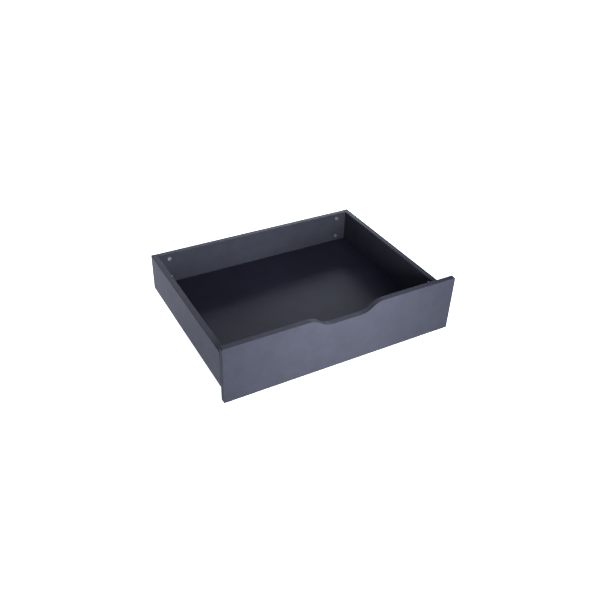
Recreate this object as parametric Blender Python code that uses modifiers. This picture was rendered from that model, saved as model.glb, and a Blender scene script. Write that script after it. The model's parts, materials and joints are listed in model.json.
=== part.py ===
"""Roll-out storage drawer for the space under a desk.

Five 16 mm laminated boards are joined with cam locks, cam bolts and dowels, and the box rolls on four
fixed castors. Metres, +Z up. The origin is on the floor, below the middle of the drawer's outline seen from
above. The front panel faces -Y, and it stands past the box on the right.
"""
import math

import bmesh
import bpy
from mathutils import Matrix, Vector

# Boards
BOARD = 0.016             # thickness of every board
BOX_WIDTH = 0.680         # over the outer faces of the sides
BOX_DEPTH = 0.500         # from the back of the front panel to the back of the box
SIDE_HEIGHT = 0.114
FRONT_WIDTH = 0.715       # flush with the left side, the rest overhangs on the right
FRONT_HEIGHT = 0.174
FRONT_ABOVE_SIDES = 0.017
FRONT_CORNER_RADIUS = 0.003
SIDE_CORNER_RADIUS = 0.008    # only the top front corner, just behind the front panel
EDGE_RADIUS = 0.001       # rounding of the edge bands
GAP = 0.0003              # between pieces that touch

# Hand cut-out: a flat floor with an S-shaped ramp on each side, each made of two tangent arcs
CUTOUT_DEPTH = 0.0264
CUTOUT_FLOOR = 0.088
CUTOUT_ARC_RADIUS = 0.0564

# Castors
CASTOR_HEIGHT = 0.050
WHEEL_RADIUS = 0.020
WHEEL_WIDTH = 0.016
WHEEL_STEPS = 20
WHEEL_HUB_RADIUS = 0.0065
WHEEL_RIM_RADIUS = 0.0145     # inside of the rim
WHEEL_RIM_INSET = 0.0008      # the rim is this much narrower than the hub on each side
WHEEL_SHOULDER = 0.0022
WHEEL_WEB = 0.006             # thickness between the hub and the rim
WHEEL_CLEARANCE = 0.0007      # between the hub and a cheek
AXLE_RADIUS = 0.003
AXLE_HEAD_RADIUS = 0.0042
AXLE_HEAD_THICKNESS = 0.001
PLATE_LENGTH = 0.064
PLATE_WIDTH = 0.034
PLATE_THICKNESS = 0.003
PLATE_CORNER_RADIUS = 0.006
PLATE_HOLE_RADIUS = 0.0022
HOUSING_EDGE_RADIUS = 0.0005
CHEEK_THICKNESS = 0.003
CHEEK_TOP_LENGTH = 0.038
CHEEK_BOSS_RADIUS = 0.008
CASTOR_SPREAD_X = 0.280   # castor centres from the middle of the box
CASTOR_SPREAD_Y = 0.165
CASTOR_SCREW_PITCH = 0.050

# Fixings
CAM_SETBACK = 0.034       # cam centre from the face that it pulls against
CAM_RADIUS = 0.006
CAM_HEIGHT = 0.0117
CAM_WALL = 0.0022         # between the rim and the cavity for the bolt's head
CAM_RECESS = (0.0072, 0.0016, 0.0024)     # length, width and depth of the cross
CAM_ROW_INSET = 0.017     # cam rows from the top edge of the back, and from its lower edge
CAM_SPREAD_Y = 0.098      # cams under the bottom, from the middle of the box
BOLT_NECK_RADIUS = 0.002
BOLT_HEAD_RADIUS = 0.0028
BOLT_HEAD_HEIGHT = 0.0024
BOLT_THREAD_RADIUS = 0.003
BOLT_THREAD_LENGTH = 0.010
DOWEL_RADIUS = 0.004
DOWEL_LENGTH = 0.030
DOWEL_CHAMFER = 0.001
DOWEL_IN_FACE = 0.012     # how deep a dowel sits in one board's face, the rest is in the other's edge
DOWEL_SPREAD_Y = 0.215    # dowels beside the bottom, from the middle of the box
SCREW_SHANK_RADIUS = 0.00175
SCREW_HEAD_RADIUS = 0.004
SCREW_RECESS = (0.0042, 0.0011, 0.0014)   # length, width and depth of the cross
PAN_HEAD_HEIGHT = 0.0024
COUNTERSINK_DEPTH = 0.0022
CASTOR_SCREW_LENGTH = 0.0145
BACK_SCREW_LENGTH = 0.042
BACK_SCREW_SPREAD = 0.220
ROUND_STEPS = 12          # sides of small round pieces and of the bores they sit in
SMALL_STEPS = 8           # sides of screws and cam bolts

# Places worked out from the sizes above
FRONT_FACE_Y = -(BOX_DEPTH + BOARD) / 2
BOX_FRONT_Y = FRONT_FACE_Y + BOARD
BOX_BACK_Y = BOX_FRONT_Y + BOX_DEPTH
BOX_MID_Y = (BOX_FRONT_Y + BOX_BACK_Y) / 2
BACK_MID_Y = BOX_BACK_Y - BOARD / 2
BOX_MID_X = (BOX_WIDTH - FRONT_WIDTH) / 2
INNER_HALF_WIDTH = BOX_WIDTH / 2 - BOARD
SIDE_BOTTOM = CASTOR_HEIGHT
SIDE_TOP = SIDE_BOTTOM + SIDE_HEIGHT
BOTTOM_TOP = SIDE_BOTTOM + BOARD
FRONT_TOP = SIDE_TOP + FRONT_ABOVE_SIDES
UPPER_CAM_Z = SIDE_TOP - CAM_ROW_INSET
LOWER_CAM_Z = BOTTOM_TOP + CAM_ROW_INSET
DOWEL_Z = (UPPER_CAM_Z + LOWER_CAM_Z) / 2
BOTTOM_MID_Z = SIDE_BOTTOM + BOARD / 2

X, Y, Z = Vector((1, 0, 0)), Vector((0, 1, 0)), Vector((0, 0, 1))
SIDES = {"left": -1, "right": 1}
CUTTER_OVERRUN = 0.002    # how far a cutter stands out of the face that it opens


def start_scene():
    for thing in list(bpy.data.objects):
        bpy.data.objects.remove(thing)
    parts = bpy.data.collections.new("under_desk_drawer")
    cutters = bpy.data.collections.new("cutters")
    bpy.context.scene.collection.children.link(parts)
    bpy.context.scene.collection.children.link(cutters)
    return parts, cutters


PARTS, CUTTERS = start_scene()


def finish(name, colour, roughness, metallic=0.0):
    material = bpy.data.materials.new(name)
    material.use_nodes = True
    shader = material.node_tree.nodes["Principled BSDF"]
    shader.inputs["Base Color"].default_value = (*colour, 1.0)
    shader.inputs["Roughness"].default_value = roughness
    shader.inputs["Metallic"].default_value = metallic
    return material


LAMINATE = finish("anthracite_laminate", (0.060, 0.064, 0.085), 0.42)
ZINC = finish("zinc_alloy", (0.62, 0.63, 0.66), 0.35, 1.0)
STEEL = finish("plated_steel", (0.55, 0.56, 0.58), 0.28, 1.0)
BEECH = finish("beech", (0.62, 0.42, 0.24), 0.65)
BLACK_PLASTIC = finish("black_plastic", (0.018, 0.018, 0.020), 0.45)
WHEEL_PLASTIC = finish("wheel_plastic", (0.045, 0.046, 0.050), 0.55)


# ---------------------------------------------------------------- building blocks
def add_object(name, mesh, material=None, place=None):
    """A piece of the drawer in its material, or a hidden cutter when there is no material."""
    thing = bpy.data.objects.new(name, mesh)
    thing.matrix_world = place or Matrix()
    if material:
        mesh.materials.clear()
        mesh.materials.append(material)
        mesh.shade_smooth()
        mesh.set_sharp_from_angle(angle=math.radians(35))
        PARTS.objects.link(thing)
    else:
        thing.display_type = "WIRE"
        thing.hide_render = True
        CUTTERS.objects.link(thing)
    return thing


def frame_at(place, z_axis, x_axis=None):
    """Matrix that puts a piece's own origin at place, with its Z and X along the given directions."""
    z_axis = Vector(z_axis)
    x_axis = Vector(x_axis) if x_axis else z_axis.orthogonal().normalized()
    y_axis = z_axis.cross(x_axis)
    turn = Matrix((x_axis, y_axis, z_axis)).transposed().to_4x4()
    return Matrix.Translation(place) @ turn


def combine(thing, tool, operation="DIFFERENCE"):
    step = thing.modifiers.new(tool.name, "BOOLEAN")
    step.operation = operation
    step.object = tool
    step.solver = "EXACT"


def box_mesh(name, size):
    shape = bmesh.new()
    bmesh.ops.create_cube(shape, size=1.0, matrix=Matrix.Diagonal((*size, 1.0)))
    mesh = bpy.data.meshes.new(name)
    shape.to_mesh(mesh)
    shape.free()
    return mesh


def cylinders_mesh(name, cylinders):
    """One mesh of cylinders or cones. Each is (start, direction, length, radius, end radius, sides)."""
    shape = bmesh.new()
    for start, direction, length, radius, end_radius, sides in cylinders:
        middle = Vector(start) + Vector(direction) * (length / 2)
        bmesh.ops.create_cone(shape, cap_ends=True, segments=sides, radius1=radius, radius2=end_radius,
                              depth=length, matrix=frame_at(middle, direction))
    mesh = bpy.data.meshes.new(name)
    shape.to_mesh(mesh)
    shape.free()
    return mesh


def turned(name, profile, steps, material, place):
    """A piece turned about its own Z. The profile is (radius, z) points, listed from top to bottom."""
    mesh = bpy.data.meshes.new(name)
    closed = profile[0][0] > 0
    count = len(profile)
    edges = [(i, (i + 1) % count) for i in range(count if closed else count - 1)]
    mesh.from_pydata([(radius, 0.0, z) for radius, z in profile], edges, [])
    thing = add_object(name, mesh, material, place)
    screw = thing.modifiers.new("turn", "SCREW")
    screw.axis = "Z"
    screw.steps = steps
    screw.render_steps = steps
    screw.use_merge_vertices = True
    screw.merge_threshold = 0.00001
    screw.use_smooth_shade = True
    return thing


def arc(centre, radius, start, end, steps):
    """Points on an arc, with the angles in degrees."""
    angles = [math.radians(start + (end - start) * i / steps) for i in range(steps + 1)]
    return [(centre[0] + radius * math.cos(a), centre[1] + radius * math.sin(a)) for a in angles]


def rounded_rectangle(low, high, radii, steps=6):
    """Outline, anticlockwise from the lower left corner. A radius of 0 leaves the corner square."""
    corners = [(low[0], low[1], 1, 1, 180), (high[0], low[1], -1, 1, 270),
               (high[0], high[1], -1, -1, 0), (low[0], high[1], 1, -1, 90)]
    points = []
    for (x, y, inward_x, inward_y, start), radius in zip(corners, radii):
        if radius:
            points += arc((x + inward_x * radius, y + inward_y * radius), radius, start, start + 90, steps)
        else:
            points.append((x, y))
    return points


def flat_piece(name, outline, thickness, edge_radius, material, place, edge_steps=1):
    """A flat outline with a thickness along its own Z and rounded edges, as one welded mesh."""
    curve = bpy.data.curves.new(name, "CURVE")
    curve.dimensions = "2D"
    curve.fill_mode = "BOTH"
    curve.extrude = thickness / 2 - edge_radius
    curve.bevel_depth = edge_radius
    curve.bevel_resolution = edge_steps
    curve.offset = -edge_radius
    spline = curve.splines.new("POLY")
    spline.points.add(len(outline) - 1)
    for point, (x, y) in zip(spline.points, outline):
        point.co = (x, y, 0.0, 1.0)
    spline.use_cyclic_u = True
    drawn = bpy.data.objects.new(name + "_outline", curve)
    PARTS.objects.link(drawn)
    mesh = bpy.data.meshes.new_from_object(drawn.evaluated_get(bpy.context.evaluated_depsgraph_get()))
    bpy.data.objects.remove(drawn)
    bpy.data.curves.remove(curve)
    shape = bmesh.new()
    shape.from_mesh(mesh)
    bmesh.ops.remove_doubles(shape, verts=shape.verts, dist=0.00001)
    bmesh.ops.recalc_face_normals(shape, faces=shape.faces)
    shape.to_mesh(mesh)
    shape.free()
    mesh.name = name
    return add_object(name, mesh, material, place)


# ---------------------------------------------------------------- boards
def cutout_outline(top, mid_x):
    """The hand cut-out from right to left along the top edge at height top, centred on mid_x."""
    angle = math.degrees(math.acos(1 - CUTOUT_DEPTH / (2 * CUTOUT_ARC_RADIUS)))
    ramp = 2 * CUTOUT_ARC_RADIUS * math.sin(math.radians(angle))
    floor = top - CUTOUT_DEPTH
    half = CUTOUT_FLOOR / 2
    radius = CUTOUT_ARC_RADIUS
    right = arc((mid_x + half + ramp, top - radius), radius, 90, 90 + angle, 6)
    right += arc((mid_x + half, floor + radius), radius, 270 + angle, 270, 6)[1:]
    return right + [(2 * mid_x - x, z) for x, z in reversed(right)]


def make_front_panel():
    half = FRONT_WIDTH / 2
    low, high = (-half, FRONT_TOP - FRONT_HEIGHT), (half, FRONT_TOP)
    outline = rounded_rectangle(low, high, [FRONT_CORNER_RADIUS] * 4)
    lower_and_right = len(outline) * 3 // 4
    outline[lower_and_right:lower_and_right] = cutout_outline(FRONT_TOP, 0.0)
    place = frame_at((0, FRONT_FACE_Y + BOARD / 2, 0), -Y, X)
    return flat_piece("front_panel", outline, BOARD, EDGE_RADIUS, LAMINATE, place)


def make_side(name, hand):
    """Outline in Y and Z, with the top front corner rounded."""
    low, high = (BOX_FRONT_Y + GAP, SIDE_BOTTOM), (BOX_BACK_Y, SIDE_TOP)
    outline = rounded_rectangle(low, high, [0, 0, 0, SIDE_CORNER_RADIUS])
    place = frame_at((BOX_MID_X + hand * (BOX_WIDTH - BOARD) / 2, 0, 0), X, Y)
    return flat_piece(name, outline, BOARD, EDGE_RADIUS, LAMINATE, place)


def make_back_panel():
    """The cross-section in Y and Z, run along X between the sides. Only its top edges are rounded."""
    low, high = (BOX_BACK_Y - BOARD, BOTTOM_TOP + GAP), (BOX_BACK_Y, SIDE_TOP)
    outline = rounded_rectangle(low, high, [0, 0, EDGE_RADIUS, EDGE_RADIUS], steps=2)
    return flat_piece("back_panel", outline, 2 * (INNER_HALF_WIDTH - GAP), 0.0, LAMINATE,
                      frame_at((BOX_MID_X, 0, 0), X, Y))


def make_bottom_panel():
    size = (2 * (INNER_HALF_WIDTH - GAP), BOX_DEPTH - GAP, BOARD)
    place = Matrix.Translation((BOX_MID_X, BOX_MID_Y + GAP / 2, BOTTOM_MID_Z))
    return add_object("bottom_panel", box_mesh("bottom_panel", size), LAMINATE, place)


# ---------------------------------------------------------------- bores
BORES = {}                # board name: bores that don't meet one another
POCKETS = {}              # board name: cam pockets and countersinks, which meet the bores


def bore(table, board, mouth, inward, radius, depth, sides=ROUND_STEPS, mouth_radius=None):
    """A round hole from a mouth on the board's surface. A countersink is wider at its mouth."""
    start = Vector(mouth) - Vector(inward) * CUTTER_OVERRUN
    cylinder = (start, inward, depth + CUTTER_OVERRUN, mouth_radius or radius, radius, sides)
    table.setdefault(board, []).append(cylinder)


def drill(boards):
    for label, table in (("bores", BORES), ("pockets", POCKETS)):
        for name, cylinders in table.items():
            tool_name = name + "_" + label
            combine(boards[name], add_object(tool_name, cylinders_mesh(tool_name, cylinders)))


# ---------------------------------------------------------------- cam fittings and dowels
def cut_cross(thing, recess, place):
    """Cuts a cross recess into a face at the middle of a place, down its own Z."""
    length, width, depth = recess
    for index, size in enumerate(((length, width), (width, length))):
        tool_name = f"{thing.name}_recess_{index}"
        combine(thing, add_object(tool_name, box_mesh(tool_name, (*size, 2 * depth)), None, place))


def make_cam(name, place):
    """The lock's own Z points out of its face, and its bolt comes in from +X through a narrow slot.

    The bolt's head entered through the wide mouth on the other side before the lock was turned.
    """
    body = cylinders_mesh(name, [((0, 0, -CAM_HEIGHT), Z, CAM_HEIGHT, CAM_RADIUS, CAM_RADIUS, ROUND_STEPS)])
    cam = add_object(name, body, ZINC, place)
    slot_start = (0, 0, -BOARD / 2)
    mouth_start = (CAM_RADIUS - CAM_WALL, 0, -BOARD / 2)
    neck, head = BOLT_NECK_RADIUS + GAP, BOLT_HEAD_RADIUS + GAP
    slot = (slot_start, X, CAM_RADIUS + CUTTER_OVERRUN, neck, neck, SMALL_STEPS)
    mouth = (mouth_start, -X, 2 * CAM_RADIUS, head, head, ROUND_STEPS)
    combine(cam, add_object(name + "_slot", cylinders_mesh(name + "_slot", [slot]), None, place))
    combine(cam, add_object(name + "_mouth", cylinders_mesh(name + "_mouth", [mouth]), None, place))
    cut_cross(cam, CAM_RECESS, place)


def make_cam_bolt(name, place):
    """The bolt's own Z runs from its thread, below the joint's face, to its head inside the lock."""
    head_end = CAM_SETBACK + BOLT_HEAD_HEIGHT / 2
    head_start = head_end - BOLT_HEAD_HEIGHT
    profile = [
        (0.0, head_end), (BOLT_HEAD_RADIUS * 0.6, head_end), (BOLT_HEAD_RADIUS, head_end - 0.0009),
        (BOLT_HEAD_RADIUS, head_start), (BOLT_NECK_RADIUS, head_start), (BOLT_NECK_RADIUS, 0.0),
        (BOLT_THREAD_RADIUS, 0.0), (BOLT_NECK_RADIUS, -BOLT_THREAD_LENGTH), (0.0, -BOLT_THREAD_LENGTH)]
    return turned(name, profile, SMALL_STEPS, STEEL, place)


def make_fitting(label, holder, neighbour, root, run, face):
    """A lock in the holder board pulls on a bolt that is screwed into the neighbour board at root.

    run is the way from root along the bolt, and face is the way that the lock's face looks.
    """
    root, run, face = Vector(root), Vector(run), Vector(face)
    cam_place = root + run * CAM_SETBACK + face * (BOARD / 2)
    bore(BORES, neighbour, root, -run, BOLT_THREAD_RADIUS + GAP, BOLT_THREAD_LENGTH + GAP)
    bore(BORES, holder, root, run, BOLT_THREAD_RADIUS + GAP, CAM_SETBACK)
    bore(POCKETS, holder, cam_place, -face, CAM_RADIUS + GAP, CAM_HEIGHT + GAP)
    make_cam("cam_" + label, frame_at(cam_place, face, -run))
    make_cam_bolt("cam_bolt_" + label, frame_at(root, run))


def make_dowel(label, edge_board, face_board, root, run):
    """A dowel between one board's face, at root, and the edge of the board that run points into."""
    root, run = Vector(root), Vector(run)
    radius = DOWEL_RADIUS + GAP
    bore(BORES, face_board, root, -run, radius, DOWEL_IN_FACE + GAP)
    bore(BORES, edge_board, root, run, radius, DOWEL_LENGTH - DOWEL_IN_FACE + GAP)
    top, bottom, end_radius = DOWEL_LENGTH - DOWEL_IN_FACE, -DOWEL_IN_FACE, DOWEL_RADIUS - DOWEL_CHAMFER
    profile = [(0.0, top), (end_radius, top), (DOWEL_RADIUS, top - DOWEL_CHAMFER),
               (DOWEL_RADIUS, bottom + DOWEL_CHAMFER), (end_radius, bottom), (0.0, bottom)]
    turned("dowel_" + label, profile, ROUND_STEPS, BEECH, frame_at(root, run))


def make_joinery():
    for side, hand in SIDES.items():
        board = side + "_side"
        inner_x = BOX_MID_X + hand * INNER_HALF_WIDTH
        middle_x = inner_x + hand * BOARD / 2
        for level, z in (("lower", LOWER_CAM_Z), ("upper", UPPER_CAM_Z)):
            back_root, front_root = (inner_x, BACK_MID_Y, z), (middle_x, BOX_FRONT_Y, z)
            make_fitting(f"back_{side}_{level}", "back_panel", board, back_root, X * -hand, -Y)
            make_fitting(f"front_{side}_{level}", board, "front_panel", front_root, Y, X * -hand)
        make_dowel(f"back_{side}", "back_panel", board, (inner_x, BACK_MID_Y, DOWEL_Z), X * -hand)
        make_dowel(f"front_{side}", board, "front_panel", (middle_x, BOX_FRONT_Y, DOWEL_Z), Y)
        for end, toward in (("front", -1), ("rear", 1)):
            cam_root = (inner_x, BOX_MID_Y + toward * CAM_SPREAD_Y, BOTTOM_MID_Z)
            dowel_root = (inner_x, BOX_MID_Y + toward * DOWEL_SPREAD_Y, BOTTOM_MID_Z)
            make_fitting(f"bottom_{side}_{end}", "bottom_panel", board, cam_root, X * -hand, -Z)
            make_dowel(f"bottom_{side}_{end}", "bottom_panel", board, dowel_root, X * -hand)


# ---------------------------------------------------------------- screws
def screw_profile(head, length):
    """Profile from the tip at z = length down to the head, with the head's widest face at z = 0."""
    radius = SCREW_SHANK_RADIUS
    return [(0.0, length), (radius * 0.3, length - 0.0008), (radius, length - 0.004)] + head


def make_castor_screw(name, seat):
    """A pan head screw that points up, with its head under the castor's plate at seat."""
    radius, height = SCREW_HEAD_RADIUS, PAN_HEAD_HEIGHT
    head = [(SCREW_SHANK_RADIUS, 0.0), (radius, 0.0), (radius, 0.0014 - height),
            (radius * 0.8, 0.0004 - height), (radius * 0.5, -height), (0.0, -height)]
    profile = screw_profile(head, CASTOR_SCREW_LENGTH)
    screw = turned(name, profile, SMALL_STEPS, STEEL, Matrix.Translation(seat))
    cut_cross(screw, SCREW_RECESS, Matrix.Translation(Vector(seat) - Z * height))


def make_back_screws():
    """Countersunk screws that go up through the bottom into the lower edge of the back."""
    bore_radius = SCREW_SHANK_RADIUS + GAP
    slope = (SCREW_HEAD_RADIUS - SCREW_SHANK_RADIUS) / COUNTERSINK_DEPTH
    mouth_radius = SCREW_HEAD_RADIUS + slope * (GAP + CUTTER_OVERRUN) + GAP
    for place, offset in (("left", -BACK_SCREW_SPREAD), ("middle", 0.0), ("right", BACK_SCREW_SPREAD)):
        seat = Vector((BOX_MID_X + offset, BACK_MID_Y, SIDE_BOTTOM + GAP))
        bore(BORES, "bottom_panel", seat, Z, bore_radius, BOARD + CUTTER_OVERRUN)
        bore(BORES, "back_panel", seat + Z * BOARD, Z, bore_radius, BACK_SCREW_LENGTH - BOARD + GAP)
        bore(POCKETS, "bottom_panel", seat - Z * GAP, Z, bore_radius, COUNTERSINK_DEPTH + 2 * GAP,
             mouth_radius=mouth_radius)
        head = [(SCREW_SHANK_RADIUS, COUNTERSINK_DEPTH), (SCREW_HEAD_RADIUS, 0.0), (0.0, 0.0)]
        profile = screw_profile(head, BACK_SCREW_LENGTH)
        screw = turned("back_screw_" + place, profile, SMALL_STEPS, STEEL, Matrix.Translation(seat))
        cut_cross(screw, SCREW_RECESS, Matrix.Translation(seat))


# ---------------------------------------------------------------- castors
def make_castor_housing(name, x, y):
    """A plate with two cheeks that taper to the axle.

    Returns the distance from the middle to a cheek's outer face.
    """
    plate_top = CASTOR_HEIGHT - GAP - WHEEL_RADIUS
    place = Matrix.Translation((x, y, WHEEL_RADIUS))
    half_x, half_y = PLATE_WIDTH / 2, PLATE_LENGTH / 2
    outline = rounded_rectangle((-half_x, -half_y), (half_x, half_y), [PLATE_CORNER_RADIUS] * 4, steps=3)
    top_z = plate_top - PLATE_THICKNESS / 2
    housing = flat_piece(name, outline, PLATE_THICKNESS, HOUSING_EDGE_RADIUS, BLACK_PLASTIC,
                         place @ Matrix.Translation((0, 0, top_z)), edge_steps=0)

    half_top = CHEEK_TOP_LENGTH / 2
    reach = math.hypot(half_top, top_z)
    lean = math.degrees(math.atan2(top_z, half_top) - math.acos(CHEEK_BOSS_RADIUS / reach))
    cheek = [(half_top, top_z), (-half_top, top_z)]
    cheek += arc((0, 0), CHEEK_BOSS_RADIUS, 180 - lean, 360 + lean, 8)
    cheek_x = WHEEL_WIDTH / 2 + WHEEL_CLEARANCE + CHEEK_THICKNESS / 2
    for side, hand in SIDES.items():
        tool = flat_piece(f"{name}_cheek_{side}", cheek, CHEEK_THICKNESS, HOUSING_EDGE_RADIUS, BLACK_PLASTIC,
                          place @ frame_at((hand * cheek_x, 0, 0), X, Y), edge_steps=0)
        PARTS.objects.unlink(tool)
        CUTTERS.objects.link(tool)
        tool.hide_render = True
        tool.display_type = "WIRE"
        combine(housing, tool, "UNION")

    holes = [((-half_x, 0, 0), X, PLATE_WIDTH, AXLE_RADIUS + GAP, AXLE_RADIUS + GAP, ROUND_STEPS)]
    for hand in (-1, 1):
        start = (0, hand * CASTOR_SCREW_PITCH / 2, plate_top - 2 * PLATE_THICKNESS)
        holes.append((start, Z, 3 * PLATE_THICKNESS, PLATE_HOLE_RADIUS, PLATE_HOLE_RADIUS, ROUND_STEPS))
    combine(housing, add_object(name + "_holes", cylinders_mesh(name + "_holes", holes), None, place))
    return cheek_x + CHEEK_THICKNESS / 2


def make_wheel(name, x, y):
    """Solid plastic wheel with a hub, a thin web and a round-shouldered tread. It turns about X.

    The tread has flat facets, and one of them looks straight down, WHEEL_RADIUS below the axis.
    """
    tread = WHEEL_RADIUS / math.cos(math.pi / WHEEL_STEPS)
    bore_radius, half, web = AXLE_RADIUS + GAP, WHEEL_WIDTH / 2, WHEEL_WEB / 2
    rim_half = half - WHEEL_RIM_INSET
    upper = [(bore_radius, half), (WHEEL_HUB_RADIUS, half), (WHEEL_HUB_RADIUS, web),
             (WHEEL_RIM_RADIUS, web), (WHEEL_RIM_RADIUS, rim_half),
             (tread - WHEEL_SHOULDER, rim_half), (tread, rim_half - WHEEL_SHOULDER)]
    profile = upper + [(radius, -z) for radius, z in reversed(upper)]
    half_step = Matrix.Rotation(math.pi / WHEEL_STEPS, 4, "X")
    place = Matrix.Translation((x, y, WHEEL_RADIUS)) @ half_step @ frame_at((0, 0, 0), X, Z)
    turned(name, profile, WHEEL_STEPS, WHEEL_PLASTIC, place)


def make_axle(name, x, y, half_span):
    """Riveted pin with a flat head on each side of the fork."""
    inner, outer = half_span + GAP, half_span + GAP + AXLE_HEAD_THICKNESS
    upper = [(0.0, outer), (AXLE_HEAD_RADIUS - 0.0004, outer), (AXLE_HEAD_RADIUS, inner),
             (AXLE_RADIUS, inner)]
    profile = upper + [(r, -z) for r, z in reversed(upper)]
    turned(name, profile, ROUND_STEPS, STEEL, frame_at((x, y, WHEEL_RADIUS), X, Z))


def make_castors():
    for end, toward in (("front", -1), ("rear", 1)):
        for side, hand in SIDES.items():
            name = f"castor_{end}_{side}"
            x = BOX_MID_X + hand * CASTOR_SPREAD_X
            y = BOX_MID_Y + toward * CASTOR_SPREAD_Y
            half_span = make_castor_housing(name + "_housing", x, y)
            make_wheel(name + "_wheel", x, y)
            make_axle(name + "_axle", x, y, half_span)
            for label, offset in (("front", -1), ("rear", 1)):
                screw_y = y + offset * CASTOR_SCREW_PITCH / 2
                seat_z = SIDE_BOTTOM - 2 * GAP - PLATE_THICKNESS
                depth = CASTOR_SCREW_LENGTH - (SIDE_BOTTOM - seat_z)
                mouth = (x, screw_y, SIDE_BOTTOM)
                bore(BORES, "bottom_panel", mouth, Z, SCREW_SHANK_RADIUS + GAP, depth + GAP)
                make_castor_screw(f"{name}_screw_{label}", (x, screw_y, seat_z))


def main():
    boards = {
        "front_panel": make_front_panel(),
        "left_side": make_side("left_side", -1),
        "right_side": make_side("right_side", 1),
        "back_panel": make_back_panel(),
        "bottom_panel": make_bottom_panel(),
    }
    make_joinery()
    make_back_screws()
    make_castors()
    drill(boards)


main()
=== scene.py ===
"""Looks of the roll-out drawer for the space under a desk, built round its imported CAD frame.

A finer piece stands for each CAD node: laminated boards with edge bands and raw bores, cam locks, bolts,
dowels, screws and castors. Places and sizes are read from the frame. Metres, +Z up, and the front panel
faces -Y.
"""
import json
import math

import bmesh
import bpy
from mathutils import Matrix, Quaternion, Vector

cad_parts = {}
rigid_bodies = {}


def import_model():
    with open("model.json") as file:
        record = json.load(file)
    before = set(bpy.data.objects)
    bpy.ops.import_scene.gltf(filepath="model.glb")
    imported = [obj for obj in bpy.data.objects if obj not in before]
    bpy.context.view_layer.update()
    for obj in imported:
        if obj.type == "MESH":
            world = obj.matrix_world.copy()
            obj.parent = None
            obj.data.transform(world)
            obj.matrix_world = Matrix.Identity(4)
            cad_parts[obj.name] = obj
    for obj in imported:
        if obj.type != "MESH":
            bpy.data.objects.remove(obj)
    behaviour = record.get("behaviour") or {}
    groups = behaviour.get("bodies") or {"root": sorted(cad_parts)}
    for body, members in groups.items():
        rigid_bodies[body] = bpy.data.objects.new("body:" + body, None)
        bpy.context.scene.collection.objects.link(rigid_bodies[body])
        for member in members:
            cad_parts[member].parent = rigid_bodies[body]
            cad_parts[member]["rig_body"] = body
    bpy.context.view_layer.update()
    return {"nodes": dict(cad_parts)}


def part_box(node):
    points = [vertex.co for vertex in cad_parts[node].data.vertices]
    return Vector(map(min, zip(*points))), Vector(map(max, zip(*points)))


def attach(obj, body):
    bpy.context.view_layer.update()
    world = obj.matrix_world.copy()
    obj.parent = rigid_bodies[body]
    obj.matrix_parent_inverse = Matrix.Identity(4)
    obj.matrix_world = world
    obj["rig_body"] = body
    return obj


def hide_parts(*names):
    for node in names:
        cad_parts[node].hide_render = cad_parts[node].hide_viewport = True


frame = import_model()

X, Y, Z = Vector((1, 0, 0)), Vector((0, 1, 0)), Vector((0, 0, 1))
SIDES = {"left": -1, "right": 1}
ENDS = {"front": -1, "rear": 1}
SCENE = bpy.context.scene

# Boards
EDGE_RADIUS = 0.001           # the edge bands are 1 mm thick and rounded over
FRONT_CORNER_RADIUS = 0.003
SIDE_CORNER_RADIUS = 0.008    # at the top of its front end
BOTTOM_EDGE_RADIUS = 0.0006
CUTOUT_DEPTH = 0.0264
CUTOUT_FLOOR = 0.088
CUTOUT_ARC_RADIUS = 0.0564
BORE_GAP = 0.0003             # between a fitting and its bore
WELD_DISTANCE = 0.0000002     # slivers thinner than this are welded away after a cut
CUTTER_TURN = 0.05            # radians, so that no edge of a round cutter lies in a symmetry plane

# Fittings
BOLT_THREAD_LENGTH = 0.010
BOLT_THREAD_PITCH = 0.0022
BOLT_THREAD_DEPTH = 0.0008
BOLT_NECK_RADIUS = 0.002
BOLT_CORE_RADIUS = 0.0021
BOLT_COLLAR_RADIUS = 0.0029
BOLT_HEAD_RADIUS = 0.0028
CAM_RIM = 0.0004
CAM_WALL = 0.0022             # between a lock's rim and its cavity for the bolt's head
CAM_RECESS = (0.0062, 0.0014, 0.0026)     # length, width and depth of a cross
DOWEL_CHAMFER = 0.001
FLUTES = 14
FLUTE_DEPTH = 0.00035
SCREW_SHANK_RADIUS = 0.00175
SCREW_CORE_RADIUS = 0.0012
SCREW_PITCH = 0.0018
SCREW_TIP_LENGTH = 0.004
PAN_HEAD_HEIGHT = 0.0024
PAN_HEAD_THREAD_START = 0.002             # above the head's seat
PAN_HEAD_RECESS = (0.0040, 0.0010, 0.0016)
COUNTERSINK = 0.0022          # depth of a countersunk head
COUNTERSUNK_THREAD_START = 0.0064         # above the head's flat end
COUNTERSUNK_RECESS = (0.0042, 0.0011, 0.0018)

# Castors
PLATE_THICKNESS = 0.003
PLATE_CORNER_RADIUS = 0.006
PLATE_HOLE_RADIUS = 0.0022
PLATE_HOLE_OFFSET = 0.025     # screw holes, from the middle of the plate
CHEEK_THICKNESS = 0.003
CHEEK_TOP_LENGTH = 0.038
CHEEK_BOSS_RADIUS = 0.008
CHEEK_RIBS = ((-0.012, 0.0135), (0.0, 0.0105), (0.012, 0.0135))    # along Y, and foot above the axle
CHEEK_RIB_THICKNESS = 0.0014
CHEEK_RIB_REACH = 0.0031      # past a cheek's outer face, at the plate
MOULDED_EDGE_RADIUS = 0.0006
AXLE_RADIUS = 0.003
AXLE_HEAD_THICKNESS = 0.001
WHEEL_HUB_RADIUS = 0.0065
WHEEL_RIM_RADIUS = 0.0145     # inside of the rim
WHEEL_RIM_INSET = 0.0008      # the rim is this much narrower than the hub on each side
WHEEL_SHOULDER = 0.0022
WHEEL_WEB = 0.004             # thickness between the hub and the rim
WHEEL_FILLET = 0.0006
WHEEL_CHAMFER = 0.0003
WHEEL_RIBS = 6
WHEEL_RIB_THICKNESS = 0.0012
GROOVE_DEPTH = 0.0003
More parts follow.
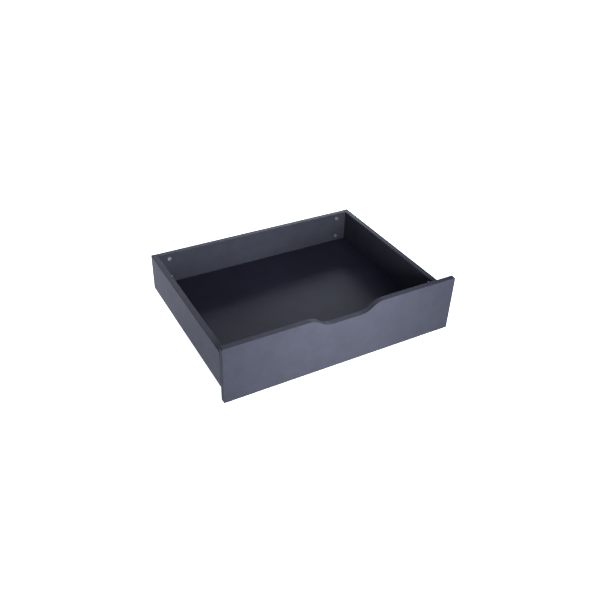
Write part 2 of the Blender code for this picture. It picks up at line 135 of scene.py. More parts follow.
GROOVE_EDGES = (0.0032, 0.0030, 0.0024, 0.0022)     # from the tread's middle


# ---------------------------------------------------------------- the frame's boxes
def centre(node):
    low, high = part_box(node)
    return (low + high) / 2


def size(node):
    low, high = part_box(node)
    return high - low


def frame_at(place, z_axis, x_axis=None):
    """Matrix that puts a piece's own origin at place, with its Z and X along the given directions."""
    z_axis = Vector(z_axis)
    x_axis = Vector(x_axis) if x_axis else z_axis.orthogonal().normalized()
    turn = Matrix((x_axis, z_axis.cross(x_axis), z_axis)).transposed().to_4x4()
    return Matrix.Translation(place) @ turn


# ---------------------------------------------------------------- mesh tools
def as_mesh(shape, name):
    bmesh.ops.recalc_face_normals(shape, faces=shape.faces)
    mesh = bpy.data.meshes.new(name)
    shape.to_mesh(mesh)
    shape.free()
    return mesh


def arc(middle, radius, start, end, steps):
    """Points on an arc, with the angles in degrees."""
    angles = [math.radians(start + (end - start) * i / steps) for i in range(steps + 1)]
    return [(middle[0] + radius * math.cos(a), middle[1] + radius * math.sin(a)) for a in angles]


def rounded_rectangle(low, high, radii, steps=8):
    """Outline, anticlockwise from the lower left corner. A radius of 0 leaves the corner square."""
    corners = [(low[0], low[1], 1, 1, 180), (high[0], low[1], -1, 1, 270),
               (high[0], high[1], -1, -1, 0), (low[0], high[1], 1, -1, 90)]
    points = []
    for (x, y, inward_x, inward_y, start), radius in zip(corners, radii):
        if radius:
            points += arc((x + inward_x * radius, y + inward_y * radius), radius, start, start + 90, steps)
        else:
            points.append((x, y))
    return points


def flat_mesh(name, outline, thickness, edge_radius, place=Matrix()):
    """A flat outline with a thickness along its own Z and rounded edges, as one welded mesh."""
    curve = bpy.data.curves.new(name, "CURVE")
    curve.dimensions = "2D"
    curve.fill_mode = "BOTH"
    curve.extrude = thickness / 2 - edge_radius
    curve.bevel_depth = edge_radius
    curve.bevel_resolution = 3
    curve.offset = -edge_radius
    spline = curve.splines.new("POLY")
    spline.points.add(len(outline) - 1)
    for point, (x, y) in zip(spline.points, outline):
        point.co = (x, y, 0.0, 1.0)
    spline.use_cyclic_u = True
    drawn = bpy.data.objects.new(name, curve)
    SCENE.collection.objects.link(drawn)
    rough = bpy.data.meshes.new_from_object(drawn.evaluated_get(bpy.context.evaluated_depsgraph_get()))
    bpy.data.objects.remove(drawn)
    bpy.data.curves.remove(curve)
    shape = bmesh.new()
    shape.from_mesh(rough)
    bpy.data.meshes.remove(rough)
    bmesh.ops.remove_doubles(shape, verts=shape.verts, dist=0.00001)
    bmesh.ops.transform(shape, matrix=place, verts=shape.verts)
    return as_mesh(shape, name)


def block_mesh(name, low, high, radius=0.0, rounded=None, taper=1.0):
    """A box. The edges that rounded(middle) picks are rounded over, and taper narrows its low Z end."""
    shape = bmesh.new()
    low, high = Vector(low), Vector(high)
    bmesh.ops.create_cube(shape, size=1.0, matrix=Matrix.Diagonal((*(high - low), 1.0)))
    for vertex in shape.verts:
        if vertex.co.z < 0:
            vertex.co.x *= taper
            vertex.co.y *= taper
    bmesh.ops.translate(shape, vec=(low + high) / 2, verts=shape.verts)
    if rounded:
        edges = [e for e in shape.edges if rounded((e.verts[0].co + e.verts[1].co) / 2)]
        bmesh.ops.bevel(shape, geom=edges, offset=radius, segments=4, profile=0.5, affect="EDGES")
    return as_mesh(shape, name)


def turned_mesh(name, profile, steps=48, ripple=None, ring=False):
    """Turned about Z from (radius, z) points in order. A ring's last point joins its first.

    ripple(z, angle) is added to the radius, which makes threads and flutes.
    """
    shape = bmesh.new()
    rings = []
    for radius, z in profile:
        turn = [2 * math.pi * i / steps for i in range(steps if radius else 1)]
        radii = [radius + (ripple(z, a) if ripple and radius else 0.0) for a in turn]
        rings.append([shape.verts.new((r * math.cos(a), r * math.sin(a), z)) for r, a in zip(radii, turn)])
    for one, other in zip(rings, rings[1:] + rings[:1] if ring else rings[1:]):
        for i in range(steps):
            corners = [one[i % len(one)], one[(i + 1) % steps % len(one)],
                       other[(i + 1) % steps % len(other)], other[i % len(other)]]
            shape.faces.new(dict.fromkeys(corners))
    return as_mesh(shape, name)


def cylinder_mesh(name, start, direction, length, radius):
    mesh = turned_mesh(name, [(0.0, 0.0), (radius, 0.0), (radius, length), (0.0, length)], 40)
    mesh.transform(frame_at(start, direction) @ Matrix.Rotation(CUTTER_TURN, 4, "Z"))
    return mesh


def carved(base, add=(), remove=(), wall=None):
    """The base mesh with others joined to it and cut out of it. The cuts get the wall material, if any."""
    thing = bpy.data.objects.new(base.name, base)
    SCENE.collection.objects.link(thing)
    tools = []
    for operation, meshes in (("UNION", add), ("DIFFERENCE", remove)):
        for mesh in meshes:
            if wall and operation == "DIFFERENCE":
                mesh.materials.append(wall)
            tools.append(bpy.data.objects.new("tool", mesh))
            SCENE.collection.objects.link(tools[-1])
            step = thing.modifiers.new("carve", "BOOLEAN")
            step.operation = operation
            step.object = tools[-1]
            step.solver = "EXACT"
            step.material_mode = "TRANSFER" if wall else "INDEX"
    bpy.context.view_layer.update()
    mesh = bpy.data.meshes.new_from_object(thing.evaluated_get(bpy.context.evaluated_depsgraph_get()))
    for used in [thing, *tools]:
        bpy.data.objects.remove(used)
    weld = bmesh.new()
    weld.from_mesh(mesh)
    bmesh.ops.dissolve_degenerate(weld, dist=WELD_DISTANCE, edges=weld.edges)
    weld.to_mesh(mesh)
    weld.free()
    return mesh


def smooth(mesh):
    mesh.shade_smooth()
    mesh.set_sharp_from_angle(angle=math.radians(32))
    return mesh


def put(mesh, node, materials=(), matrix=None):
    """A piece that stands for a CAD node, rides on the node's body and takes its finish from a slot."""
    piece = bpy.data.objects.new(node + "_piece", mesh)
    SCENE.collection.objects.link(piece)
    for material in materials:
        if material.name not in mesh.materials:
            mesh.materials.append(material)
    piece.matrix_world = matrix or Matrix()
    weighted = piece.modifiers.new("normals", "WEIGHTED_NORMAL")
    weighted.keep_sharp = True
    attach(piece, frame["nodes"][node]["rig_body"])
    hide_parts(node)


# ---------------------------------------------------------------- materials
def node(tree, kind, inputs=None, **settings):
    """A shader node. An input that is a socket is linked, and any other is set on the node."""
    made = tree.nodes.new(kind)
    for name, value in settings.items():
        setattr(made, name, value)
    for name, value in (inputs or {}).items():
        if isinstance(value, bpy.types.NodeSocket):
            tree.links.new(value, made.inputs[name])
        else:
            made.inputs[name].default_value = value
    return made


def ramp(tree, factor, stops):
    made = node(tree, "ShaderNodeValToRGB", {"Fac": factor})
    elements = made.color_ramp.elements
    while len(elements) < len(stops):
        elements.new(0.5)
    for element, (place, colour) in zip(elements, stops):
        element.position = place
        element.color = (*colour, 1.0)
    return made.outputs["Color"]


def noise(tree, place, scale, detail=3.0, roughness=0.5):
    inputs = {"Vector": place, "Scale": scale, "Detail": detail, "Roughness": roughness}
    return node(tree, "ShaderNodeTexNoise", inputs).outputs["Fac"]


def spread(tree, factor, low, high):
    """A 0 to 1 factor, with most of a noise's middle range, stretched between two values."""
    made = node(tree, "ShaderNodeMapRange", {"Value": factor, "From Min": 0.3, "From Max": 0.7,
                                             "To Min": low, "To Max": high})
    return made.outputs["Result"]


def bump(tree, height, depth):
    inputs = {"Height": height, "Distance": depth, "Strength": 1.0}
    return node(tree, "ShaderNodeBump", inputs).outputs["Normal"]


def surface(name, **sockets):
    """A new material: its node tree, its shader and the object's own coordinates."""
    material = bpy.data.materials.new(name)
    material.use_nodes = True
    tree = material.node_tree
    shader = tree.nodes["Principled BSDF"]
    for socket, value in sockets.items():
        shader.inputs[socket.replace("_", " ")].default_value = value
    place = tree.nodes.new("ShaderNodeTexCoord").outputs["Object"]
    return material, tree, shader, place


def stretched(tree, place, scale):
    return node(tree, "ShaderNodeMapping", {"Vector": place, "Scale": scale}).outputs["Vector"]


def speckled(name, colours, patch, roughness, grain, grain_depth, **sockets):
    """A material with clouds of colour and gloss as wide as patch, and a fine grain in its surface."""
    material, tree, shader, place = surface(name, **sockets)
    clouds = noise(tree, place, 1 / patch, 4.0, 0.6)
    gloss = noise(tree, place, 2.3 / patch, 6.0, 0.65)
    fine = noise(tree, place, 1 / grain, 2.0, 0.55)
    tree.links.new(ramp(tree, clouds, [(0.35, colours[0]), (0.65, colours[1])]), shader.inputs["Base Color"])
    tree.links.new(spread(tree, gloss, *roughness), shader.inputs["Roughness"])
    tree.links.new(bump(tree, fine, grain_depth), shader.inputs["Normal"])
    return material


SHEEN = (0.82, 0.86, 1.0, 1.0)      # the boards reflect a little bluer than they're lit
BOTTOM_SHEEN = (0.90, 0.84, 1.0, 1.0)


def make_laminate():
    return speckled("satin_laminate", ((0.0262, 0.0262, 0.0350), (0.0300, 0.0300, 0.0400)),
                    patch=0.05, roughness=(0.39, 0.44), grain=0.0009, grain_depth=0.000016,
                    Specular_IOR_Level=0.04, Specular_Tint=SHEEN)


def make_bottom_laminate_painted_shade():
    """The bottom board's faces: a darker copy of the laminate, its darkness painted shade for the inside of
    the drawer, with a softer but stronger sheen.
    """
    return speckled("bottom_laminate_painted_shade", ((0.0150, 0.0146, 0.0240), (0.0173, 0.0169, 0.0276)),
                    patch=0.05, roughness=(0.45, 0.50), grain=0.0009, grain_depth=0.000016,
                    Specular_IOR_Level=0.07, Specular_Tint=BOTTOM_SHEEN)


def make_edge_band():
    return speckled("edge_band", ((0.0262, 0.0264, 0.0345), (0.0300, 0.0302, 0.0395)),
                    patch=0.03, roughness=(0.50, 0.58), grain=0.0006, grain_depth=0.000012,
                    Specular_IOR_Level=0.04, Specular_Tint=SHEEN)


def make_chipboard():
    """Raw chipboard, in the bores: pale chips of all sizes in a darker resin."""
    material, tree, shader, place = surface("raw_chipboard", Roughness=0.9)
    flattened = stretched(tree, place, (1, 1, 2.4))
    chips = node(tree, "ShaderNodeTexVoronoi", {"Vector": flattened, "Scale": 700.0})
    tone = node(tree, "ShaderNodeSeparateColor", {"Color": chips.outputs["Color"]}).outputs["Red"]
    tones = [(0.0, (0.20, 0.12, 0.06)), (0.5, (0.42, 0.28, 0.15)), (1.0, (0.62, 0.46, 0.28))]
    tree.links.new(ramp(tree, tone, tones), shader.inputs["Base Color"])
    tree.links.new(bump(tree, chips.outputs["Distance"], 0.0002), shader.inputs["Normal"])
    return material


def make_zinc():
    return speckled("cast_zinc", ((0.49, 0.50, 0.53), (0.62, 0.63, 0.66)),
                    patch=0.004, roughness=(0.28, 0.44), grain=0.0005, grain_depth=0.00002, Metallic=1.0)


def make_steel():
    """Zinc-plated steel with faint rings from the lathe."""
    material, tree, shader, place = surface("turned_steel", Metallic=1.0)
    tone = noise(tree, place, 500.0, 4.0)
    tree.links.new(ramp(tree, tone, [(0.3, (0.38, 0.39, 0.42)), (0.7, (0.53, 0.54, 0.57))]),
                   shader.inputs["Base Color"])
    tree.links.new(spread(tree, noise(tree, place, 900.0), 0.2, 0.36), shader.inputs["Roughness"])
    rings = noise(tree, stretched(tree, place, (1, 1, 12)), 400.0, 2.0)
    tree.links.new(bump(tree, rings, 0.00001), shader.inputs["Normal"])
    return material


def make_beech():
    """Beech, with its grain and short dark flecks along Z."""
    material, tree, shader, place = surface("beech_wood", Roughness=0.6)
    grain = noise(tree, stretched(tree, place, (1, 1, 0.06)), 1400.0, 5.0, 0.6)
    flecks = noise(tree, stretched(tree, place, (1, 1, 0.2)), 2600.0, 1.0)
    colour = ramp(tree, grain, [(0.3, (0.42, 0.26, 0.13)), (0.7, (0.66, 0.46, 0.27))])
    dark = ramp(tree, flecks, [(0.62, (1.0, 1.0, 1.0)), (0.72, (0.55, 0.45, 0.36))])
    mixed = node(tree, "ShaderNodeMix", data_type="RGBA", blend_type="MULTIPLY")
    mixed.inputs[0].default_value = 1.0
    tree.links.new(colour, mixed.inputs[6])
    tree.links.new(dark, mixed.inputs[7])
    tree.links.new(mixed.outputs[2], shader.inputs["Base Color"])
    tree.links.new(bump(tree, grain, 0.00008), shader.inputs["Normal"])
    return material


def make_black_plastic():
    return speckled("moulded_plastic", ((0.013, 0.013, 0.014), (0.021, 0.021, 0.023)),
                    patch=0.02, roughness=(0.36, 0.50), grain=0.0004, grain_depth=0.000025, IOR=1.5)


def make_wheel_plastic():
    return speckled("tread_plastic", ((0.034, 0.035, 0.038), (0.058, 0.059, 0.063)),
                    patch=0.012, roughness=(0.42, 0.66), grain=0.0006, grain_depth=0.00004, IOR=1.5)


LAMINATE = make_laminate()
# a darker copy of the laminate for the bottom board: painted shade for the inside of the drawer
BOTTOM_LAMINATE_PAINTED_SHADE = make_bottom_laminate_painted_shade()
EDGE_BAND = make_edge_band()
CHIPBOARD = make_chipboard()
ZINC = make_zinc()
STEEL = make_steel()
BEECH = make_beech()
BLACK_PLASTIC = make_black_plastic()
WHEEL_PLASTIC = make_wheel_plastic()


# ---------------------------------------------------------------- bores
def long_axis(name):
    spans = size(name)
    return max(range(3), key=lambda axis: spans[axis])


def bore_along(name):
    """Cutter round a fitting, along its longest side and past both of its ends."""
    axis = long_axis(name)
    start = centre(name)
    start[axis] -= size(name)[axis] / 2 + BORE_GAP
    radius = size(name)[(axis + 1) % 3] / 2 + BORE_GAP
    return cylinder_mesh("bore", start, (X, Y, Z)[axis], size(name)[axis] + 2 * BORE_GAP, radius)


def cam_bore(name, face):
    """Cutter for a cam lock's pocket, which opens towards face."""
    depth = abs(size(name).dot(face))
    radius = max(abs(size(name).dot(across)) for across in (X, Y, Z) if not across.dot(face)) / 2 + BORE_GAP
    mouth = centre(name) + face * (depth / 2 + BORE_GAP)
    return cylinder_mesh("pocket", mouth, -face, depth + 2 * BORE_GAP, radius)


def screw_bore(name):
    """Cutter round a screw that points up, with a flare for a countersunk head."""
    low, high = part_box(name)
    shank = SCREW_SHANK_RADIUS + BORE_GAP
    flare = (high.x - low.x) / 2 + BORE_GAP if name in BACK_SCREWS else shank
    top = high.z - low.z + 2 * BORE_GAP
    profile = [(0.0, 0.0), (flare, 0.0), (flare, BORE_GAP), (shank, COUNTERSINK), (shank, top), (0.0, top)]
    cutter = turned_mesh("screw_bore", profile, 40)
    cutter.transform(Matrix.Translation((centre(name).x, centre(name).y, low.z - BORE_GAP)))
    return cutter


def cam_face(label):
    """The way that a cam lock's face looks, and the way that its bolt comes in from."""
    group, side = label.split("_")[:2]
    inward = X * -SIDES[side]
    return {"back": (-Y, -inward), "front": (inward, -Y), "bottom": (-Z, -inward)}[group]


CAM_LABELS = [name[len("cam_"):] for name in frame["nodes"] if name.startswith("cam_") and "bolt" not in name]
DOWELS = [name for name in frame["nodes"] if name.startswith("dowel_")]
BACK_SCREWS = [name for name in frame["nodes"] if name.startswith("back_screw_")]
CASTOR_SCREWS = [name for name in frame["nodes"] if name.startswith("castor_") and "_screw_" in name]


def reaches_into(name, board, depth=0.001):
    """True where a fitting's box and a board's overlap by more than depth on every axis."""
    (low, high), (board_low, board_high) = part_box(name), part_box(board)
    return all(low[i] < board_high[i] - depth and high[i] > board_low[i] + depth for i in range(3))


def cutters_for(board):
    """Cutters for every fitting that reaches into a board."""
    tools = []
    for label in CAM_LABELS:
        if reaches_into("cam_" + label, board):
            tools.append(cam_bore("cam_" + label, cam_face(label)[0]))
        if reaches_into("cam_bolt_" + label, board):
            tools.append(bore_along("cam_bolt_" + label))
    tools += [bore_along(name) for name in DOWELS if reaches_into(name, board)]
    tools += [screw_bore(name) for name in BACK_SCREWS + CASTOR_SCREWS if reaches_into(name, board)]
    return tools


# ---------------------------------------------------------------- boards
def cutout_outline(top):
    """The hand cut-out from right to left along the top edge: a flat floor between two S ramps."""
    angle = math.degrees(math.acos(1 - CUTOUT_DEPTH / (2 * CUTOUT_ARC_RADIUS)))
    radius, half, floor = CUTOUT_ARC_RADIUS, CUTOUT_FLOOR / 2, top - CUTOUT_DEPTH
    ramp_length = 2 * radius * math.sin(math.radians(angle))
    right = arc((half + ramp_length, top - radius), radius, 90, 90 + angle, 14)
    right += arc((half, floor + radius), radius, 270 + angle, 270, 14)[1:]
    return right + [(-x, z) for x, z in reversed(right)]


def front_mesh():
    low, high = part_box("front_panel")
    outline = rounded_rectangle((low.x, low.z), (high.x, high.z), [FRONT_CORNER_RADIUS] * 4)
    past_the_right_corners = len(outline) * 3 // 4
    outline[past_the_right_corners:past_the_right_corners] = cutout_outline(high.z)
    middle = (0, centre("front_panel").y, 0)
    return flat_mesh("front_board", outline, high.y - low.y, EDGE_RADIUS, frame_at(middle, -Y, X))


def side_mesh(name):
    low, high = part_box(name)
    outline = rounded_rectangle((low.y, low.z), (high.y, high.z), [0, 0, 0, SIDE_CORNER_RADIUS])
    return flat_mesh(name, outline, high.x - low.x, EDGE_RADIUS, frame_at((centre(name).x, 0, 0), X, Y))


def rounded_board(name, radius, axis):
    """A box with the long edges of the face at the high end of an axis rounded over."""
    low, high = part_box(name)
    middle_x = (low.x + high.x) / 2
    return block_mesh(name, low, high, radius,
                      lambda middle: middle[axis] > high[axis] - 0.0001 and abs(middle.x - middle_x) < 0.01)


def finish_board(mesh, name, axis, laminate=LAMINATE):
    """Drills a board and gives its faces their materials: laminate across the axis, bands on the edges."""
    mesh.materials.append(laminate)
    mesh.materials.append(EDGE_BAND)
    board = carved(mesh, remove=cutters_for(name), wall=CHIPBOARD)
    low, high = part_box(name)
    raw = board.materials.find(CHIPBOARD.name)
    for face in board.polygons:
        if face.material_index != raw:
            to_faces = min(abs(face.center[axis] - low[axis]), abs(face.center[axis] - high[axis]))
            face.material_index = 0 if to_faces < 0.00001 and abs(face.normal[axis]) > 0.999 else 1
    put(smooth(board), name)


def make_boards():
    finish_board(front_mesh(), "front_panel", 1)
    finish_board(side_mesh("left_side"), "left_side", 0)
    finish_board(side_mesh("right_side"), "right_side", 0)
    finish_board(rounded_board("back_panel", EDGE_RADIUS, 2), "back_panel", 1)
    # the bottom board takes the darker laminate copy, whose darkness is painted shade for the inside of the
    # drawer
    finish_board(rounded_board("bottom_panel", BOTTOM_EDGE_RADIUS, 1), "bottom_panel", 2, BOTTOM_LAMINATE_PAINTED_SHADE)


# ---------------------------------------------------------------- fittings
def thread(low, high, pitch, depth):
    """A ridge that winds round between two heights and fades out at both, for turned_mesh."""
    def ripple(z, angle):
        turn = z / pitch - angle / (2 * math.pi)
        ridge = max(0.0, math.cos(2 * math.pi * turn)) ** 0.7
        fade = max(0.0, min(1.0, (z - low) / pitch, (high - z) / pitch))
        return depth * ridge * fade
    return ripple


def rows(low, high, step):
    count = max(1, round((high - low) / step))
    return [low + (high - low) * i / count for i in range(count + 1)]


def cross_cutters(length, width, depth, top=0.0):
    """Two crossed wedges for a recess that opens upwards at height top."""
    low = top - depth
    return [block_mesh("recess", (-x / 2, -y / 2, low), (x / 2, y / 2, top + depth), taper=0.45)
            for x, y in ((length, width), (width, length))]


def cam_mesh():
    """Lock with a rim, a cross recess, a pointer to its bolt and a cavity for the bolt's head."""
    spans = size("cam_bottom_left_front")
    radius, height, rim = spans.x / 2, spans.z, CAM_RIM
    profile = [(0.0, -height), (radius - 2 * rim, -height), (radius, 2 * rim - height), (radius, -rim),
               (radius - rim, 0.0), (radius - 4 * rim, 0.0), (radius - 5 * rim, -rim), (0.0, -rim)]
    body = turned_mesh("cam_lock", profile, 64)
    bolt_line = -size("bottom_panel").z / 2
    neck, head = BOLT_NECK_RADIUS + BORE_GAP, BOLT_HEAD_RADIUS + BORE_GAP
    tip, tail = radius - 0.0021, radius - 0.0034
    pointer = flat_mesh("pointer", [(tip, 0.0), (tail, 0.0008), (tail, -0.0008)], 0.001, 0.0,
                        Matrix.Translation((0, 0, -rim)))
    remove = [cylinder_mesh("slot", (0, 0, bolt_line), X, radius + neck, neck),
              cylinder_mesh("mouth", (radius - CAM_WALL, 0, bolt_line), -X, 2 * radius, head), pointer]
    return smooth(carved(body, remove=remove + cross_cutters(*CAM_RECESS, -rim)))


def bolt_mesh():
    """Cam bolt: thread below the joint's face at z = 0, then a collar, the neck and the head in the lock."""
    low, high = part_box("cam_bolt_back_left_upper")
    end, top = -BOLT_THREAD_LENGTH, high.x - low.x - BOLT_THREAD_LENGTH
    core, collar, neck, waist = BOLT_CORE_RADIUS, BOLT_COLLAR_RADIUS, BOLT_NECK_RADIUS, 0.0013
    head = (high.z - low.z) / 2 * 0.93
    profile = [(0.0, end), (core * 0.5, end)]
    profile += [(core, z) for z in rows(end + 0.0008, -0.0012, BOLT_THREAD_PITCH / 8)]
    profile += [(core, -0.0011), (collar, -0.0009), (collar, 0.0008), (neck, 0.0012), (neck, top - 0.0034),
                (waist, top - 0.0030), (waist, top - 0.0024), (head - 0.0004, top - 0.0024),
                (head, top - 0.0020), (head, top - 0.0009), (head - 0.0008, top), (0.0, top)]
    ridge = thread(end, -0.0011, BOLT_THREAD_PITCH, BOLT_THREAD_DEPTH)
    return smooth(turned_mesh("cam_bolt", profile, 32, ridge))


def dowel_mesh():
    """Dowel with straight flutes and chamfered ends, along Z round its middle."""
    spans = sorted(size(DOWELS[0]))
    radius, half, chamfer = spans[0] / 2, spans[2] / 2, DOWEL_CHAMFER

    def flutes(z, angle):
        return -FLUTE_DEPTH * max(0.0, math.cos(FLUTES * angle)) ** 2 * (abs(z) < half - chamfer / 2)

    profile = [(0.0, -half), (radius - chamfer, -half), (radius, chamfer - half), (radius, half - chamfer),
               (radius - chamfer, half), (0.0, half)]
    return smooth(turned_mesh("dowel", profile, 8 * FLUTES, flutes))


def screw_mesh(name, head, start, length):
    """Chipboard screw, point up, on its head's profile, with its thread from start."""
    core, tip = SCREW_CORE_RADIUS, SCREW_TIP_LENGTH
    profile = head + [(core, z) for z in rows(start, length - tip, SCREW_PITCH / 7)]
    profile += [(core * share, length - tip * share) for share in (0.75, 0.5, 0.25, 0.0)]
    ridge = thread(start, length - tip / 5, SCREW_PITCH, SCREW_SHANK_RADIUS - core)
    return turned_mesh(name, profile, 28, ridge)


def castor_screw_mesh():
    low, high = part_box(CASTOR_SCREWS[0])
    radius, height, brim = (high.x - low.x) / 2, PAN_HEAD_HEIGHT, 0.0008
    length = high.z - low.z - height
    dome = [(radius * math.cos(a), -brim - (height - brim) * math.sin(a))
            for a in (math.radians(90 - 12 * i) for i in range(1, 8))]
    head = [(0.0, -height)] + dome + [(radius, -0.0003), (radius - 0.0003, 0.0), (SCREW_SHANK_RADIUS, 0.0)]
    recess = cross_cutters(*PAN_HEAD_RECESS)
    for mesh in recess:
        mesh.transform(Matrix.Translation((0, 0, -height)) @ Matrix.Rotation(math.pi, 4, "X"))
    return smooth(carved(screw_mesh("castor_screw", head, PAN_HEAD_THREAD_START, length), remove=recess))


def back_screw_mesh():
    low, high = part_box(BACK_SCREWS[0])
    radius = (high.x - low.x) / 2
    head = [(0.0, 0.0), (radius - 0.0002, 0.0), (radius, 0.0002), (SCREW_SHANK_RADIUS, COUNTERSINK),
            (SCREW_SHANK_RADIUS, COUNTERSUNK_THREAD_START - 0.0004)]
    body = screw_mesh("back_screw", head, COUNTERSUNK_THREAD_START, high.z - low.z)
    recess = cross_cutters(*COUNTERSUNK_RECESS)
    for mesh in recess:
        mesh.transform(Matrix.Rotation(math.pi, 4, "X"))
    return smooth(carved(body, remove=recess))


def make_fittings():
    cam, bolt, dowel = cam_mesh(), bolt_mesh(), dowel_mesh()
    castor_screw, back_screw = castor_screw_mesh(), back_screw_mesh()
    for label in CAM_LABELS:
        face, bolt_side = cam_face(label)
        name = "cam_" + label
        mouth = centre(name) + face * abs(size(name).dot(face)) / 2
        put(cam, name, [ZINC], frame_at(mouth, face, bolt_side))
        name = "cam_bolt_" + label
        joint = centre(name) + bolt_side * (abs(size(name).dot(bolt_side)) / 2 - BOLT_THREAD_LENGTH)
        put(bolt, name, [STEEL], frame_at(joint, -bolt_side))
    for name in DOWELS:
        put(dowel, name, [BEECH], frame_at(centre(name), (X, Y, Z)[long_axis(name)]))
    for names, mesh, rise in ((CASTOR_SCREWS, castor_screw, PAN_HEAD_HEIGHT), (BACK_SCREWS, back_screw, 0.0)):
        for name in names:
            seat = Vector((centre(name).x, centre(name).y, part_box(name)[0].z + rise))
            put(mesh, name, [STEEL], Matrix.Translation(seat))


# ---------------------------------------------------------------- castors
def housing_mesh(name):
    """Plate with two ribbed cheeks and a boss round the axle on each. Its origin is on the wheel's axis."""
    low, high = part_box(name)
    half_x, half_y = (high.x - low.x) / 2, (high.y - low.y) / 2
    axle_low, axle_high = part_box(name.replace("housing", "axle"))
    top = high.z - (axle_low.z + axle_high.z) / 2
    plate_z, half_top = top - PLATE_THICKNESS / 2, CHEEK_TOP_LENGTH / 2
    outline = rounded_rectangle((-half_x, -half_y), (half_x, half_y), [PLATE_CORNER_RADIUS] * 4, 10)
    plate = flat_mesh("castor_housing", outline, PLATE_THICKNESS, MOULDED_EDGE_RADIUS,
                      Matrix.Translation((0, 0, plate_z)))

    fork_half = (axle_high.x - axle_low.x) / 2 - AXLE_HEAD_THICKNESS - BORE_GAP
    cheek_x = fork_half - CHEEK_THICKNESS / 2
    reach = math.hypot(half_top, plate_z)
    lean = math.degrees(math.atan2(plate_z, half_top) - math.acos(CHEEK_BOSS_RADIUS / reach))
    cheek = [(half_top, plate_z), (-half_top, plate_z)]
    cheek += arc((0, 0), CHEEK_BOSS_RADIUS, 180 - lean, 360 + lean, 20)
    add = []
    for hand in (-1, 1):
        add.append(flat_mesh("cheek", cheek, CHEEK_THICKNESS, MOULDED_EDGE_RADIUS,
                             frame_at((hand * cheek_x, 0, 0), X, Y)))
        for y, foot in CHEEK_RIBS:
            inner, outer = hand * (fork_half - 0.0002), hand * (fork_half + CHEEK_RIB_REACH)
            add.append(flat_mesh("rib", [(inner, plate_z), (inner, foot), (outer, plate_z)],
                                 CHEEK_RIB_THICKNESS, 0.0, frame_at((0, y, 0), -Y, X)))

    remove = [cylinder_mesh("axle_hole", (-half_x, 0, 0), X, 2 * half_x, AXLE_RADIUS + BORE_GAP)]
    for y in (-PLATE_HOLE_OFFSET, PLATE_HOLE_OFFSET):
        start = (0, y, top - 2 * PLATE_THICKNESS)
        remove.append(cylinder_mesh("screw_hole", start, Z, 3 * PLATE_THICKNESS, PLATE_HOLE_RADIUS))
    return smooth(carved(plate, add=add, remove=remove))


def wheel_mesh(name):
    """Wheel with a hub, a ribbed web and a crowned tread with two fine grooves, turned about Z."""
    radius, half = centre(name).z, size(name).x / 2
    bore, hub, rim = AXLE_RADIUS + BORE_GAP, WHEEL_HUB_RADIUS, WHEEL_RIM_RADIUS
    web, side, chamfer, fillet = WHEEL_WEB / 2, half - WHEEL_RIM_INSET, WHEEL_CHAMFER, WHEEL_FILLET
    upper = [(bore, half - chamfer), (bore + chamfer, half), (hub - chamfer, half), (hub, half - chamfer)]
    upper += arc((hub + fillet, web + fillet), fillet, 180, 270, 4)
    upper += arc((rim - fillet, web + fillet), fillet, 270, 360, 4)
    upper += [(rim, side - chamfer), (rim + chamfer, side)]
    upper += arc((radius - WHEEL_SHOULDER, side - WHEEL_SHOULDER), WHEEL_SHOULDER, 90, 0, 6)
    upper += [(radius - depth, z) for z, depth in zip(GROOVE_EDGES, (0.0, GROOVE_DEPTH, GROOVE_DEPTH, 0.0))]
    body = turned_mesh("castor_wheel", upper + [(r, -z) for r, z in reversed(upper)], 80, ring=True)
    ribs = []
    thick, reach, overlap = WHEEL_RIB_THICKNESS / 2, side - 0.0006, 0.0005
    for i in range(WHEEL_RIBS):
        rib = block_mesh("rib", (hub - overlap, -thick, -reach), (rim + overlap, thick, reach))
        rib.transform(Matrix.Rotation(2 * math.pi * i / WHEEL_RIBS, 4, "Z"))
        ribs.append(rib)
    return smooth(carved(body, add=ribs))


def axle_mesh(name):
    """Riveted pin, along Z round its middle."""
    half, head = size(name).x / 2, size(name).y / 2
    inner = half - AXLE_HEAD_THICKNESS
    upper = [(0.0, half), (0.0012, half), (head - 0.0009, half - 0.0001), (head - 0.0002, half - 0.0005),
             (head, inner + 0.0001), (head - 0.0001, inner), (AXLE_RADIUS, inner)]
    return smooth(turned_mesh("castor_axle", upper + [(r, -z) for r, z in reversed(upper)], 40))


def make_castors():
    housing = housing_mesh("castor_front_left_housing")
    wheel = wheel_mesh("castor_front_left_wheel")
    axle = axle_mesh("castor_front_left_axle")
    for end in ENDS:
        for side in SIDES:
            name = f"castor_{end}_{side}_"
            middle = centre(name + "axle")
            put(housing, name + "housing", [BLACK_PLASTIC], Matrix.Translation(middle))
            put(wheel, name + "wheel", [WHEEL_PLASTIC], frame_at(middle, X, Z))
            put(axle, name + "axle", [STEEL], frame_at(middle, X, Z))


# ---------------------------------------------------------------- studio
CAMERA_PLACE = Vector((-0.8335, -1.4349, 1.2126))
CAMERA_TARGET = Vector((-0.0303, -0.0580, 0.1000))
CAMERA_ROLL = math.radians(2.186)
CAMERA_LENS = 40.829
DRAWER_MIDDLE = Vector((0.0, 0.0, 0.1))
SPOT_TARGET = Vector((-0.07, 0.0, 0.22))   # above the drawer, so the front is brightest along its top
KEY_COLOUR = (0.84, 0.91, 0.93)
REAR_COLOUR = (0.84, 0.90, 1.0)
FLOOR_GLOW = (0.80, 0.84, 1.0, 1.0)        # the floor shows pure white and reflects a pale blue
FLOOR_GLOW_STRENGTH = 1.35


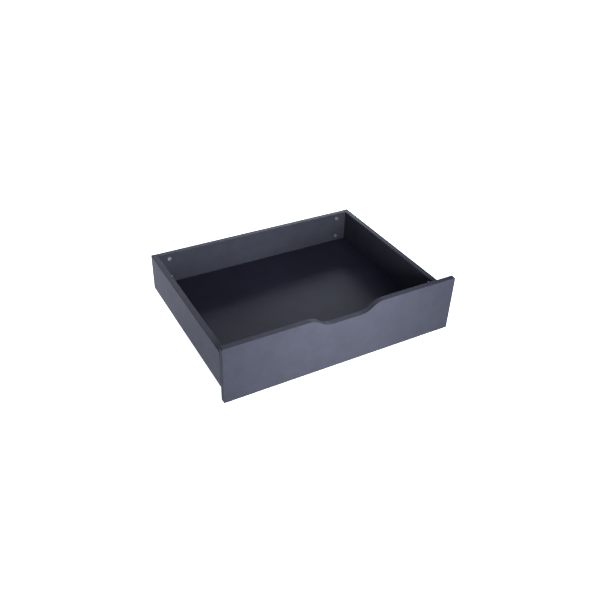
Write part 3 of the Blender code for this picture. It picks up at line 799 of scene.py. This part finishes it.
def make_camera():
    camera = bpy.data.objects.new("camera", bpy.data.cameras.new("camera"))
    camera.data.lens = CAMERA_LENS
    camera.data.sensor_width = 36.0
    camera.data.clip_start = 0.05
    camera.location = CAMERA_PLACE
    camera.rotation_mode = "QUATERNION"
    aim = (CAMERA_TARGET - CAMERA_PLACE).to_track_quat("-Z", "Y")
    camera.rotation_quaternion = aim @ Quaternion(Z, CAMERA_ROLL)
    SCENE.collection.objects.link(camera)
    SCENE.camera = camera


def make_floor():
    shape = bmesh.new()
    bmesh.ops.create_grid(shape, x_segments=1, y_segments=1, size=30.0)
    floor = bpy.data.objects.new("floor", as_mesh(shape, "floor"))
    material = bpy.data.materials.new("floor")
    material.use_nodes = True
    shader = material.node_tree.nodes["Principled BSDF"]
    shader.inputs["Base Color"].default_value = (0.9, 0.9, 0.9, 1.0)
    shader.inputs["Roughness"].default_value = 0.8
    shader.inputs["Emission Color"].default_value = FLOOR_GLOW
    shader.inputs["Emission Strength"].default_value = FLOOR_GLOW_STRENGTH
    floor.data.materials.append(material)
    SCENE.collection.objects.link(floor)


def area_light(name, colour, power, azimuth, height,
               target=DRAWER_MIDDLE, distance=2.0, width=1.0, spread=180):
    """A square soft light that faces a target. Azimuth 0 is in front of it, and 90 on its right."""
    turn, rise = math.radians(azimuth), math.radians(height)
    away = Vector((math.sin(turn) * math.cos(rise), -math.cos(turn) * math.cos(rise), math.sin(rise)))
    light = bpy.data.lights.new(name, "AREA")
    light.size = width
    light.energy = power
    light.color = colour
    light.spread = math.radians(spread)
    lamp = bpy.data.objects.new(name, light)
    lamp.location = target + away * distance
    lamp.rotation_euler = away.to_track_quat("Z", "Y").to_euler()
    SCENE.collection.objects.link(lamp)


def make_light():
    world = bpy.data.worlds.new("studio")
    world.use_nodes = True
    background = world.node_tree.nodes.get("Background") or world.node_tree.nodes.new("ShaderNodeBackground")
    background.inputs["Color"].default_value = (0.75, 0.80, 1.0, 1.0)
    background.inputs["Strength"].default_value = 0.29
    SCENE.world = world
    SCENE.view_settings.view_transform = "Standard"
    area_light("key", KEY_COLOUR, 35.0, azimuth=8, height=19)
    area_light("key_spot", KEY_COLOUR, 5.9, azimuth=6, height=10,
               target=SPOT_TARGET, distance=1.0, width=0.3, spread=90)
    area_light("rear_right", REAR_COLOUR, 50.0, azimuth=150, height=12)
    area_light("rear", REAR_COLOUR, 34.0, azimuth=180, height=12)


make_boards()
make_fittings()
make_castors()
make_camera()
make_floor()
make_light()
